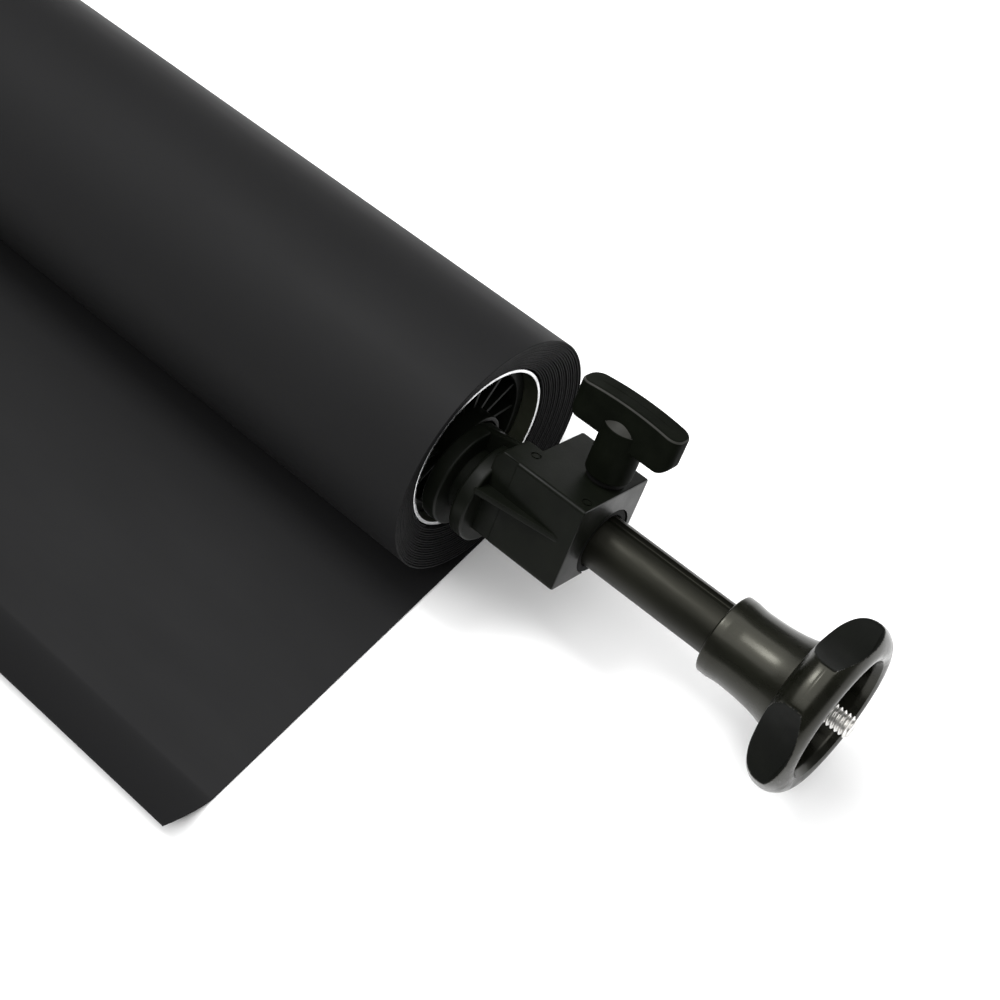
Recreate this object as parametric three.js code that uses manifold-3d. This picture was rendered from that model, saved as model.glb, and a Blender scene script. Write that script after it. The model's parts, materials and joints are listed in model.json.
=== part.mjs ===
// Vinyl backdrop wound on a thin aluminium core, with a clamp-on end adapter in each end of the core.
// Millimetres, +Z up. X runs along the roll, the loose tail lies on the floor towards -Y.
// The origin is the middle of the object's footprint on the floor.
import * as THREE from 'three';
import { mergeVertices } from 'three/addons/utils/BufferGeometryUtils.js';
import Module from 'manifold-3d';

const wasm = await Module();
wasm.setup();

// ---- driving dimensions ----
const GAP = 0.3; // clearance left between neighbouring pieces
const LOOSE = 0.4; // clearance where a piece turns on another
const OVERRUN = 1; // how far a cutting shape runs past the face that it cuts
const SHEET_WIDTH = 1350;
const SHEET_THICKNESS = 0.65; // also the pitch of the turns on the roll
const CORE_OUTER_R = 26;
const CORE_INNER_R = 25;
const CORE_RECESS = 0.5; // core rim behind the innermost turn
const ROLL_R = 38.46;
const ROLL_TELESCOPE = 4.9; // outermost turn shifted along X from the innermost
const ROLL_STEPS = 72;
const TAIL_FLAT = 114.4; // from the roll's lowest line to the curl
const TAIL_CURL_RUN = 15.9;
const TAIL_CURL_LIFT = 10.3;
const TAIL_CURL_STEPS = 5;

// Adapter stations are X distances outwards from the core's rim.
const AXLE_R = 8;
const AXLE_BORE_R = 5;
const AXLE_START = -45;
const AXLE_END = 104;
const KEYWAY_WIDTH = 3.6;
const KEYWAY_DEPTH = 1.6;
const KEYWAY_START = -30;
const KEYWAY_END = 98;
const CLIP_GROOVE_R = 7.2;
const CLIP_GROOVE_START = -42.3;
const CLIP_WIDTH = 1.2;
const CLIP_R = 11;

const PLUG_START = -26;
const PLUG_END = -5;
const PLUG_RING_R = 24.7;
const PLUG_RING_WALL = 3.1;
const PLUG_HUB_R = 9.8;
const PLUG_HUB_END = -1;
const PLUG_FINS = 14;
const PLUG_FIN_THICKNESS = 1.2;
const PLUG_FIN_END = -6;

const BLOCK_TILT = 30.2; // degrees that the clamp block leans back about the axle
const BLOCK_START = 22;
const BLOCK_END = 45.5;
const BLOCK_LEFT = -18.5; // across the axle, away from and towards the back
const BLOCK_RIGHT = 12.5;
const BLOCK_BOTTOM = -10;
const BLOCK_TOP = 17.2;
const BLOCK_CORNER_R = 1.2;
const LOBE_ACROSS = -10.2; // centre line of the two lobes, off the axle
const LOBE_UP = -2;
const LOBE_INNER = { start: 2, end: 7, r: 15.3 };
const LOBE_OUTER = { start: 11.5, end: 16.2, r: 14.6 };
const LOBE_NECK_R = 9.6;
const NECK_LEFT = -18.2;
const NECK_RIGHT = -6.9;
const NECK_CORNER = { run: 2, drop: 2.7 }; // corner cut off the neck above the outer lobe
const MERGE = 0.2; // how far a rib reaches into the body that carries it
const GUSSET_UP = 4.8;
const GUSSET_THICKNESS = 1.8;
const GUSSET_END = 41.4;
const GUSSET_REACH = -23.2;
const WEB_THICKNESS = 2.2;
const WEB_LOW_TOP = 12.9;

const BUSH_R = 10.2;
const BUSH_START = 42.6;
const BUSH_END = 45.2;

const KNOB_X = 38.8;
const KNOB_STUD_R = 3; // M6
const KNOB_STUD_TIP = 10.9;
const KNOB_STUD_TOP = 30;
const KNOB_BOSS_R = 6.6;
const KNOB_BOSS_BOTTOM = 19.3;
const KNOB_BOSS_TOP = 36.8;
const KNOB_LEDGE = 2.2; // run and drop of the sloping edge round the boss's top
const KNOB_BAR_LENGTH = 33;
const KNOB_BAR_THICKNESS = 9;
const KNOB_BAR_PLAN_R = 3.6; // rounding of its four upright corners
const KNOB_BAR_LOW_R = 3.2; // rounding under its two ends
const KNOB_BAR_BOTTOM = 30.2;
const KNOB_BAR_TOP = 40.8;
const KNOB_BAR_CROWN = 1.3;
const SPACER_R = 5.6;
const SPACER_THICKNESS = 1.5;
const CLAMP_NUT_BOTTOM = 11.6;
const CLAMP_NUT_TOP = 15.5;
const CLAMP_NUT_FLATS = 10;
const PAD_NOSE_R = 1.5;
const PAD_HEAD_R = 3;
const PAD_TIP = 6.7;
const PAD_SHOULDER = 8.8;
const PAD_TOP = 10.6;

const MOUNT_STUD_R = 3.175; // 1/4 in
const MOUNT_STUD_START = 78;
const MOUNT_STUD_END = 128.6;
const STUD_HOLE_R = MOUNT_STUD_R + GAP;
const INSERT_START = 84;
const LOCK_NUT_START = 79;
const LOCK_NUT_END = 83.4;
const LOCK_NUT_FLATS = 8;
const THRUST_START = 104.4;
const THRUST_END = 106;
const THRUST_R = 7.6;
const STUD_NUT_START = 112.3;
const STUD_NUT_END = 116.2;
const STUD_NUT_FLATS = 11;

const WHEEL_R = 26;
const WHEEL_RECESS_R = 17.5;
const WHEEL_FLOOR = 116.5;
const WHEEL_WEB_START = 106.3;
const SLEEVE_START = 87.3;
const SLEEVE_BORE_R = 8.5;
const SLEEVE_OUTSIDE = [ // x, radius
  [87.3, 11.3], [87.9, 11.85], [90, 11.85], [95, 11.5], [101, 11.8], [106, 12.5], [111, 13.8],
];
const RIM_OUTSIDE = [[112.2, 20.8], [114.2, 24.6], [118.6, WHEEL_R], [123, 24.4], [125, 20.8], [124.4, 18.3],
  [122.6, WHEEL_RECESS_R]];
const RECESS_DRAFT = 0.6;
const SCALLOPS = 4;
const SCALLOP_R = 33;
const SCALLOP_START = 109;
const SCALLOP_END = 128;
const SCALLOP_BOTTOM_R = 19.8; // distance from the axle to the deepest line of a scallop
const WHEEL_TURN = THREE.MathUtils.degToRad(4.7); // of the first scallop from square to the clamp block

// Sides of the round faces.
const LARGE_SIDES = 48;
const ROUND_SIDES = 28;
const SMALL_SIDES = 16;

// ---- materials ----
function plastic(color, roughness) {
  return new THREE.MeshStandardMaterial({ color, roughness, metalness: 0 });
}
function metal(color, roughness) {
  return new THREE.MeshStandardMaterial({ color, roughness, metalness: 1 });
}
const vinyl = plastic(0x161617, 0.6);
const mouldedBlack = plastic(0x10120f, 0.5);
const glossBlack = plastic(0x0b0c0a, 0.25);
const softBlack = plastic(0x0e0e0e, 0.8);
const aluminium = metal(0xc4c6c8, 0.35);
const steel = metal(0xb5b7b9, 0.3);
const brass = metal(0xb08d3f, 0.35);

// ---- geometry helpers ----

// Shares the vertices of a closed surface and drops triangles that have collapsed to a line.
function weld(geometry) {
  const bare = geometry.index ? geometry.toNonIndexed() : geometry.clone();
  for (const name of Object.keys(bare.attributes)) {
    if (name !== 'position') {
      bare.deleteAttribute(name);
    }
  }
  const merged = mergeVertices(bare, 1e-4);
  const source = merged.index.array;
  const kept = [];
  for (let i = 0; i < source.length; i += 3) {
    const [a, b, c] = [source[i], source[i + 1], source[i + 2]];
    if (a !== b && b !== c && c !== a) {
      kept.push(a, b, c);
    }
  }
  merged.setIndex(kept);
  return merged;
}

function signedVolume(geometry) {
  const [p, q, r] = [new THREE.Vector3(), new THREE.Vector3(), new THREE.Vector3()];
  const { position } = geometry.attributes;
  const index = geometry.index.array;
  let sum = 0;
  for (let i = 0; i < index.length; i += 3) {
    p.fromBufferAttribute(position, index[i]);
    q.fromBufferAttribute(position, index[i + 1]);
    r.fromBufferAttribute(position, index[i + 2]);
    sum += p.dot(q.cross(r));
  }
  return sum / 6;
}

// Makes every face of a welded body point out.
function faceOut(geometry) {
  if (signedVolume(geometry) < 0) {
    const index = geometry.index.array;
    for (let i = 0; i < index.length; i += 3) {
      [index[i + 1], index[i + 2]] = [index[i + 2], index[i + 1]];
    }
  }
  return geometry;
}

function closed(geometry) {
  return faceOut(weld(geometry));
}

function toSolid(geometry) {
  const body = closed(geometry);
  return new wasm.Manifold(new wasm.Mesh({
    numProp: 3,
    vertProperties: new Float32Array(body.attributes.position.array),
    triVerts: new Uint32Array(body.index.array),
  }));
}

function fromSolid(solid) {
  const mesh = solid.getMesh();
  const geometry = new THREE.BufferGeometry();
  geometry.setAttribute('position', new THREE.BufferAttribute(new Float32Array(mesh.vertProperties), 3));
  geometry.setIndex(new THREE.BufferAttribute(new Uint32Array(mesh.triVerts), 1));
  return geometry;
}

// Joins the first shapes and cuts the second ones from the result.
function carve(shapes, cuts) {
  let solid = toSolid(shapes[0]);
  for (const shape of shapes.slice(1)) {
    solid = solid.add(toSolid(shape));
  }
  for (const cut of cuts) {
    solid = solid.subtract(toSolid(cut));
  }
  return fromSolid(solid);
}

// What two shapes have in common.
function shared(a, b) {
  return fromSolid(toSolid(a).intersect(toSolid(b)));
}

// Body turned about X from [x, radius] corners.
function turned(corners, sides = ROUND_SIDES) {
  const profile = corners.map(([x, r]) => new THREE.Vector2(r, x));
  return closed(new THREE.LatheGeometry(profile, sides).rotateZ(-Math.PI / 2));
}

function rod(start, end, r, sides = ROUND_SIDES) {
  return turned([[start, 0], [start, r], [end, r], [end, 0]], sides);
}

function ring(start, end, innerR, outerR, sides = ROUND_SIDES) {
  const corners = [[start, innerR], [start, outerR], [end, outerR], [end, innerR], [start, innerR]];
  return turned(corners, sides);
}

function box(low, high) {
  const size = high.map((value, i) => value - low[i]);
  const middle = high.map((value, i) => (value + low[i]) / 2);
  return new THREE.BoxGeometry(...size).translate(...middle);
}

// Prism along X from an outline of [across, up] corners.
function alongX(corners, start, end) {
  const shape = new THREE.Shape(corners.map(([a, b]) => new THREE.Vector2(a, b)));
  const geometry = new THREE.ExtrudeGeometry(shape, { depth: end - start, bevelEnabled: false });
  const axes = new THREE.Matrix4().makeBasis(
    new THREE.Vector3(0, 1, 0),
    new THREE.Vector3(0, 0, 1),
    new THREE.Vector3(1, 0, 0),
  );
  return geometry.applyMatrix4(axes).translate(start, 0, 0);
}

// Prism across the axle (along Y) from an outline of [x, up] corners.
function across(corners, start, end, bevel = 0) {
  const shape = new THREE.Shape(corners.map(([a, b]) => new THREE.Vector2(a, b)));
  const geometry = new THREE.ExtrudeGeometry(shape, {
    depth: end - start - 2 * bevel,
    bevelEnabled: bevel > 0,
    bevelThickness: bevel,
    bevelSize: bevel,
    bevelOffset: -bevel,
    bevelSegments: 2,
  });
  const axes = new THREE.Matrix4().makeBasis(
    new THREE.Vector3(1, 0, 0),
    new THREE.Vector3(0, 0, 1),
    new THREE.Vector3(0, -1, 0),
  );
  return geometry.applyMatrix4(axes).translate(0, end - bevel, 0);
}

// Prism upwards from an outline of [x, across] corners.
function upwards(corners, start, end) {
  const shape = new THREE.Shape(corners.map(([a, b]) => new THREE.Vector2(a, b)));
  return new THREE.ExtrudeGeometry(shape, { depth: end - start, bevelEnabled: false }).translate(0, 0, start);
}

// Turns a body made along X so that it stands up from the clamp block at the knob's place.
function standing(geometry) {
  return geometry.rotateY(-Math.PI / 2).translate(KNOB_X, 0, 0);
}

function hexCorners(flats) {
  const r = flats / Math.sqrt(3);
  return Array.from({ length: 6 }, (_, i) => {
    const angle = (i * Math.PI) / 3;
    return [r * Math.cos(angle), r * Math.sin(angle)];
  });
}

function hexPrism(start, end, flats) {
  return alongX(hexCorners(flats), start, end);
}

function hexNut(start, end, flats, holeR) {
  return carve([hexPrism(start, end, flats)], [rod(start - OVERRUN, end + OVERRUN, holeR, SMALL_SIDES)]);
}

function roundedRect(left, right, bottom, top, r, steps = 3) {
  const corners = [];
  const centres = [
    [right - r, bottom + r],
    [right - r, top - r],
    [left + r, top - r],
    [left + r, bottom + r],
  ];
  centres.forEach(([a, b], corner) => {
    for (let i = 0; i <= steps; i += 1) {
      const angle = ((corner - 1) + i / steps) * (Math.PI / 2);
      corners.push([a + r * Math.cos(angle), b + r * Math.sin(angle)]);
    }
  });
  return corners;
}

// ---- the roll ----

function coreTube() {
  const half = SHEET_WIDTH / 2 - CORE_RECESS;
  return ring(-half, half, CORE_INNER_R, CORE_OUTER_R, LARGE_SIDES);
}

// The wound sheet with its loose tail: the outermost turn winds in by one thickness, the turns
// below it are one solid, and both ends follow the telescoped edge of the turns.
function backdropSheet() {
  const boreR = CORE_OUTER_R + GAP;
  const outline = [];
  for (let i = TAIL_CURL_STEPS; i >= 0; i -= 1) {
    const u = i / TAIL_CURL_STEPS;
    outline.push([-TAIL_FLAT - TAIL_CURL_RUN * u, TAIL_CURL_LIFT * u ** 1.4 - ROLL_R]);
  }
  for (let i = 0; i <= ROLL_STEPS; i += 1) {
    const r = ROLL_R - SHEET_THICKNESS * (i / ROLL_STEPS);
    const angle = (i / ROLL_STEPS) * 2 * Math.PI - Math.PI / 2;
    outline.push([r * Math.cos(angle), r * Math.sin(angle)]);
  }
  for (let i = 0; i <= TAIL_CURL_STEPS; i += 1) {
    const u = i / TAIL_CURL_STEPS;
    const lift = TAIL_CURL_LIFT * u ** 1.4 + SHEET_THICKNESS - ROLL_R;
    outline.push([-TAIL_FLAT - TAIL_CURL_RUN * u, lift]);
  }
  const shape = new THREE.Shape(outline.map(([a, b]) => new THREE.Vector2(a, b)));
  const bore = new THREE.Path();
  bore.absarc(0, 0, boreR, 0, 2 * Math.PI, true);
  shape.holes.push(bore);
  const geometry = new THREE.ExtrudeGeometry(shape, {
    depth: SHEET_WIDTH,
    bevelEnabled: false,
    curveSegments: LARGE_SIDES / 2,
  });
  const axes = new THREE.Matrix4().makeBasis(
    new THREE.Vector3(0, 1, 0),
    new THREE.Vector3(0, 0, 1),
    new THREE.Vector3(1, 0, 0),
  );
  geometry.applyMatrix4(axes).translate(-SHEET_WIDTH / 2, 0, 0);
  const { position } = geometry.attributes;
  for (let i = 0; i < position.count; i += 1) {
    const r = Math.min(Math.hypot(position.getY(i), position.getZ(i)), ROLL_R);
    const shift = (ROLL_TELESCOPE * (r - boreR)) / (ROLL_R - boreR);
    position.setX(i, position.getX(i) + shift);
  }
  return closed(geometry);
}

// Finned bush pressed into the end of the core; the axle turns in its hub.
function corePlug() {
  const ringInnerR = PLUG_RING_R - PLUG_RING_WALL;
  const parts = [
    ring(PLUG_START, PLUG_END, ringInnerR, PLUG_RING_R, LARGE_SIDES),
    ring(PLUG_START, PLUG_HUB_END, AXLE_R + LOOSE, PLUG_HUB_R),
  ];
  for (let i = 0; i < PLUG_FINS; i += 1) {
    const fin = box(
      [PLUG_START + 2, PLUG_HUB_R - 0.6, -PLUG_FIN_THICKNESS / 2],
      [PLUG_FIN_END, ringInnerR + 0.8, PLUG_FIN_THICKNESS / 2],
    );
    parts.push(fin.rotateX(((i + 0.27) * 2 * Math.PI) / PLUG_FINS));
  }
  return carve(parts, []);
}

// ---- the adapter, with Y across and Z up from the clamp block ----

function axleRod() {
  const grooveEnd = CLIP_GROOVE_START + CLIP_WIDTH + 2 * GAP;
  const body = turned([
    [AXLE_START, AXLE_BORE_R],
    [AXLE_START, AXLE_R],
    [CLIP_GROOVE_START, AXLE_R],
    [CLIP_GROOVE_START, CLIP_GROOVE_R],
    [grooveEnd, CLIP_GROOVE_R],
    [grooveEnd, AXLE_R],
    [AXLE_END, AXLE_R],
    [AXLE_END, AXLE_BORE_R],
    [AXLE_START, AXLE_BORE_R],
  ]);
  const keyway = box(
    [KEYWAY_START, -KEYWAY_WIDTH / 2, AXLE_R - KEYWAY_DEPTH],
    [KEYWAY_END, KEYWAY_WIDTH / 2, AXLE_R + OVERRUN],
  );
  return carve([body], [keyway]);
}

function axleClip() {
  const start = CLIP_GROOVE_START + GAP;
  return ring(start, start + CLIP_WIDTH, CLIP_GROOVE_R + GAP, CLIP_R, SMALL_SIDES);
}

function lobe({ start, end, r }) {
  return rod(start, end, r).translate(0, LOBE_ACROSS, LOBE_UP);
}

function clampBlock() {
  const body = alongX(
    roundedRect(BLOCK_LEFT, BLOCK_RIGHT, BLOCK_BOTTOM, BLOCK_TOP, BLOCK_CORNER_R),
    BLOCK_START,
    BLOCK_END,
  );
  const lobeNeck = rod(LOBE_INNER.start + 1, LOBE_OUTER.end, LOBE_NECK_R);
  const neckStart = LOBE_OUTER.end - 1.2;
  const inBlock = BLOCK_START + 1;
  const neck = across(
    [
      [neckStart, BLOCK_BOTTOM + MERGE],
      [inBlock, BLOCK_BOTTOM + MERGE],
      [inBlock, BLOCK_TOP],
      [neckStart + NECK_CORNER.run, BLOCK_TOP],
      [neckStart, BLOCK_TOP - NECK_CORNER.drop],
    ],
    NECK_LEFT,
    NECK_RIGHT,
  );
  const web = across(
    [
      [LOBE_INNER.start + 2, LOBE_UP],
      [inBlock, LOBE_UP],
      [inBlock, BLOCK_TOP - MERGE],
      [LOBE_INNER.start + 2, WEB_LOW_TOP],
    ],
    NECK_RIGHT - WEB_THICKNESS,
    NECK_RIGHT + MERGE,
  );
  const gusset = upwards(
    [
      [LOBE_OUTER.end - 1, BLOCK_LEFT + 1],
      [LOBE_OUTER.end - 1, GUSSET_REACH],
      [LOBE_OUTER.end, GUSSET_REACH],
      [GUSSET_END, BLOCK_LEFT - 0.1],
      [GUSSET_END, BLOCK_LEFT + 1],
    ],
    GUSSET_UP - GUSSET_THICKNESS / 2,
    GUSSET_UP + GUSSET_THICKNESS / 2,
  );
  const pocket = CLAMP_NUT_FLATS / 2 + GAP;
  const cuts = [
    rod(LOBE_INNER.start - OVERRUN, BLOCK_END + OVERRUN, AXLE_R + GAP),
    rod(BUSH_START - GAP, BLOCK_END + OVERRUN, BUSH_R + GAP),
    standing(rod(AXLE_R - OVERRUN, BLOCK_TOP + OVERRUN, KNOB_STUD_R + LOOSE, SMALL_SIDES)),
    box(
      [KNOB_X - pocket, -CLAMP_NUT_FLATS / Math.sqrt(3) - GAP, CLAMP_NUT_BOTTOM - GAP],
      [KNOB_X + pocket, BLOCK_RIGHT + OVERRUN, CLAMP_NUT_TOP + GAP],
    ),
  ];
  return carve(
    [
      body,
      lobe(LOBE_INNER),
      lobe(LOBE_OUTER),
      lobeNeck.translate(0, LOBE_ACROSS, LOBE_UP),
      neck,
      web,
      gusset,
    ],
    cuts,
  );
}

function clampNut() {
  const upright = hexNut(CLAMP_NUT_BOTTOM, CLAMP_NUT_TOP, CLAMP_NUT_FLATS, KNOB_STUD_R + GAP);
  return standing(upright);
}

function clampPad() {
  return standing(turned([
    [PAD_TIP, 0],
    [PAD_TIP, PAD_NOSE_R],
    [PAD_SHOULDER, PAD_NOSE_R],
    [PAD_SHOULDER, PAD_HEAD_R],
    [PAD_TOP, PAD_HEAD_R],
    [PAD_TOP, 0],
  ], SMALL_SIDES));
}

// T-bar on a round boss: the bar's plan has rounded corners, its top is crowned along its length.
function knobHandle() {
  const half = KNOB_BAR_LENGTH / 2;
  const side = KNOB_BAR_THICKNESS / 2;
  const crownSteps = 8;
  const cornerSteps = 4;
  const profile = [];
  for (const end of [-1, 1]) {
    for (let i = 0; i <= cornerSteps; i += 1) {
      const angle = ((5 + end) / 2 + i / cornerSteps) * (Math.PI / 2);
      profile.push([
        end * (half - KNOB_BAR_LOW_R) + KNOB_BAR_LOW_R * Math.cos(angle),
        KNOB_BAR_BOTTOM + KNOB_BAR_LOW_R * (1 + Math.sin(angle)),
      ]);
    }
  }
  for (let i = 0; i <= crownSteps; i += 1) {
    const u = 1 - (2 * i) / crownSteps;
    profile.push([half * u, KNOB_BAR_TOP + KNOB_BAR_CROWN * (1 - u * u)]);
  }
  const plan = roundedRect(-half, half, -side, side, KNOB_BAR_PLAN_R);
  const upright = upwards(plan, KNOB_BAR_BOTTOM - OVERRUN, KNOB_BAR_TOP + KNOB_BAR_CROWN + OVERRUN);
  const bar = shared(across(profile, -side - OVERRUN, side + OVERRUN), upright).translate(KNOB_X, 0, 0);
  const boss = standing(turned([
    [KNOB_BOSS_BOTTOM, 0],
    [KNOB_BOSS_BOTTOM, KNOB_BOSS_R],
    [KNOB_BOSS_TOP - KNOB_LEDGE, KNOB_BOSS_R],
    [KNOB_BOSS_TOP, KNOB_BOSS_R - KNOB_LEDGE],
    [KNOB_BOSS_TOP, 0],
  ]));
  const hole = standing(rod(KNOB_BOSS_BOTTOM - OVERRUN, KNOB_STUD_TOP + GAP, KNOB_STUD_R + GAP, SMALL_SIDES));
  return carve([bar, boss], [hole]);
}

// Sleeve over the axle's end that flares into a fat rim with a round recess and scalloped edge.
function handWheel() {
  const body = turned([
    [SLEEVE_START, SLEEVE_BORE_R],
    ...SLEEVE_OUTSIDE,
    ...RIM_OUTSIDE,
    [WHEEL_FLOOR, WHEEL_RECESS_R - RECESS_DRAFT],
    [WHEEL_FLOOR, STUD_HOLE_R],
    [WHEEL_WEB_START, STUD_HOLE_R],
    [WHEEL_WEB_START, SLEEVE_BORE_R],
    [SLEEVE_START, SLEEVE_BORE_R],
  ]);
  const cuts = [hexPrism(STUD_NUT_START - GAP, WHEEL_FLOOR + OVERRUN, STUD_NUT_FLATS + 2 * GAP)];
  for (let i = 0; i < SCALLOPS; i += 1) {
    const scallop = rod(SCALLOP_START, SCALLOP_END, SCALLOP_R).translate(0, SCALLOP_BOTTOM_R + SCALLOP_R, 0);
    cuts.push(scallop.rotateX(WHEEL_TURN + (i * 2 * Math.PI) / SCALLOPS));
  }
  return carve([body], cuts);
}

function mountStud() {
  const chamfer = 0.7;
  return turned([
    [MOUNT_STUD_START, 0],
    [MOUNT_STUD_START, MOUNT_STUD_R],
    [MOUNT_STUD_END - chamfer, MOUNT_STUD_R],
    [MOUNT_STUD_END, MOUNT_STUD_R - chamfer],
    [MOUNT_STUD_END, 0],
  ], SMALL_SIDES);
}

// ---- assembly ----

const roll = new THREE.Group();
roll.position.set(0, (TAIL_FLAT + TAIL_CURL_RUN - ROLL_R) / 2, ROLL_R);

function addPiece(parent, name, geometry, material) {
  const mesh = new THREE.Mesh(geometry, material);
  mesh.name = name;
  parent.add(mesh);
}

addPiece(roll, 'core_tube', coreTube(), aluminium);
addPiece(roll, 'backdrop_sheet', backdropSheet(), vinyl);

function addAdapter(side, turn) {
  const end = new THREE.Group();
  end.rotation.z = turn;
  end.position.x = (SHEET_WIDTH / 2 - CORE_RECESS) * Math.cos(turn);
  roll.add(end);
  addPiece(end, `core_plug_${side}`, corePlug(), mouldedBlack);

  const adapter = new THREE.Group();
  adapter.rotation.x = -THREE.MathUtils.degToRad(BLOCK_TILT);
  end.add(adapter);
  const boreR = AXLE_R + GAP;
  const insertR = AXLE_BORE_R - GAP;
  const stud = [KNOB_STUD_TIP, KNOB_STUD_TOP, KNOB_STUD_R, SMALL_SIDES];
  const spacer = [BLOCK_TOP + GAP, BLOCK_TOP + GAP + SPACER_THICKNESS, KNOB_STUD_R + LOOSE, SPACER_R];
  const stack = [
    ['clamp_block', clampBlock(), mouldedBlack],
    ['axle_bush', ring(BUSH_START, BUSH_END, boreR, BUSH_R), glossBlack],
    ['clamp_nut', clampNut(), steel],
    ['clamp_pad', clampPad(), brass],
    ['knob_spacer', standing(ring(...spacer)), softBlack],
    ['knob_stud', standing(rod(...stud)), steel],
    ['knob_handle', knobHandle(), mouldedBlack],
    ['axle_rod', axleRod(), glossBlack],
    ['axle_clip', axleClip(), steel],
    ['axle_insert', ring(INSERT_START, AXLE_END, STUD_HOLE_R, insertR, SMALL_SIDES), softBlack],
    ['thrust_washer', ring(THRUST_START, THRUST_END, STUD_HOLE_R, THRUST_R, SMALL_SIDES), steel],
    ['hand_wheel', handWheel(), glossBlack],
    ['mount_stud', mountStud(), steel],
    ['stud_nut', hexNut(STUD_NUT_START, STUD_NUT_END, STUD_NUT_FLATS, STUD_HOLE_R), steel],
    ['lock_nut', hexNut(LOCK_NUT_START, LOCK_NUT_END, LOCK_NUT_FLATS, STUD_HOLE_R), steel],
  ];
  for (const [name, geometry, material] of stack) {
    addPiece(adapter, `${name}_${side}`, geometry, material);
  }
}

addAdapter('right', 0);
addAdapter('left', Math.PI);

const backdropRoll = new THREE.Group();
backdropRoll.add(roll);

export default backdropRoll;
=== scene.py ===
"""Looks of a backdrop roll: a wound vinyl sheet on an aluminium core with a clamp adapter in each end.

Lengths are millimetres until a piece is placed, and metres in the row frame after that.
Adapter pieces are made with X out along the axle, Y across the clamp block and Z up from it.
"""
import json
import math

import bmesh
import bpy
import numpy as np
from mathutils import Matrix, Vector

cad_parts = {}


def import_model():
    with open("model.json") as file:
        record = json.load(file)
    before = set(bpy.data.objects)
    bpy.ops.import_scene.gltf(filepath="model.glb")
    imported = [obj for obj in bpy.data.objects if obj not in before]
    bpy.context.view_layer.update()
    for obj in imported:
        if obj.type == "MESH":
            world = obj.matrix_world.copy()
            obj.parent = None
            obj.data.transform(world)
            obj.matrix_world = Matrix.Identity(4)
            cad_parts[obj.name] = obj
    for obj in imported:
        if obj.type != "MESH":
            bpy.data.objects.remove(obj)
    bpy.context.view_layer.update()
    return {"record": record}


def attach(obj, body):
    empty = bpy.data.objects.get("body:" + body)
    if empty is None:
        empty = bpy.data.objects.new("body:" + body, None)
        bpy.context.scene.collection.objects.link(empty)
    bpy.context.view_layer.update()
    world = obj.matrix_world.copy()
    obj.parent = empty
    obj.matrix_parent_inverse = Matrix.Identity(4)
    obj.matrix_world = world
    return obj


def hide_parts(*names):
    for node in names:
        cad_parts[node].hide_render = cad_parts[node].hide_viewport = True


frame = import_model()

# ---- driving dimensions, the CAD model's except where a comment says so ----
MM = 0.001
GAP = 0.3  # clearance between neighbouring pieces
LOOSE = 0.4  # clearance where a piece turns on another
SHEET_WIDTH = 1350
TURN_PITCH = 0.65
SHEET_THICKNESS = 0.57  # less than the pitch, so that each turn shows; the CAD fills the pitch
ROLL_R = 38.46
CORE_OUTER_R = 26
CORE_INNER_R = 25
CORE_HALF = 674.5
TELESCOPE = 4.3  # outermost turn along X; 4.9 in the CAD
INNER_SHIFT = -0.5  # innermost turn along X, not in the CAD: it ends level with the core
TAIL_FLAT = 114.4
TAIL_CURL_RUN = 15.9
TAIL_CURL_LIFT = 10.3
AXIS_Y = (TAIL_FLAT + TAIL_CURL_RUN - ROLL_R) / 2
BLOCK_TILT = math.radians(30.2)  # of the clamp block about the axle

# Adapter stations are X distances outwards from the core's rim.
AXLE_R = 8
AXLE_BORE_R = 5.0
AXLE_START = -45
AXLE_END = 104
KEYWAY_START = -30
KEYWAY_END = 98
KEYWAY_DEPTH = 1.6
KEYWAY_HALF_WIDTH = 1.8
CLIP_GROOVE_START = -42.3
CLIP_GROOVE_END = -40.5
CLIP_GROOVE_R = 7.2
CLIP_START = -42
CLIP_END = -40.8
CLIP_INNER_R = 7.5
CLIP_OUTER_R = 11

PLUG_START = -26
PLUG_END = -5
PLUG_HUB_END = -1
PLUG_RING_R = 24.7
PLUG_RING_WALL = 3.1
PLUG_HUB_R = 9.8
PLUG_FINS = 14
PLUG_FIN_HALF = 0.6  # of a fin's thickness

BLOCK_START = 22
BLOCK_END = 45.5
BLOCK_LEFT = -18.5  # across the axle
BLOCK_RIGHT = 12.5
BLOCK_BOTTOM = -10
BLOCK_TOP = 17.2
BLOCK_CORNER_R = 1.2
LOBE_ACROSS = -10.2  # centre line of the lobes
LOBE_UP = -2
LOBES = (  # start, end, radius and bevel
    (2, 7, 15.3, 0.8),
    (11.5, 16.2, 14.6, 0.9),
    (3, 16.2, 9.6, 0.2),  # joins the other two
)
NECK_START = 15
NECK_LEFT = -18.2
NECK_RIGHT = -6.9
NECK_BOTTOM = -9.8
NECK_CORNER_RUN = 2  # corner cut off the neck above the outer lobe
NECK_CORNER_DROP = 2.7
WEB_START = 4
WEB_LEFT = -9.1
WEB_RIGHT = -6.8
WEB_LOW_TOP = 12.9
WEB_HIGH_TOP = 17
GUSSET_START = 15.2
GUSSET_END = 41.4
GUSSET_BOTTOM = 3.9
GUSSET_TOP = 5.7
GUSSET_ROOT = -17.5
GUSSET_REACH = -23.2
GUSSET_END_REACH = -18.6
MARKS = ((22.7, -10.9), (43.0, -14.2))  # ejector marks on the block's top, not in the CAD
MARK_DEPTH = 0.35
MARK_INNER_R = 1.0
MARK_OUTER_R = 1.55
BUSH_START = 42.6
BUSH_END = 45.2
BUSH_R = 10.2

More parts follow.
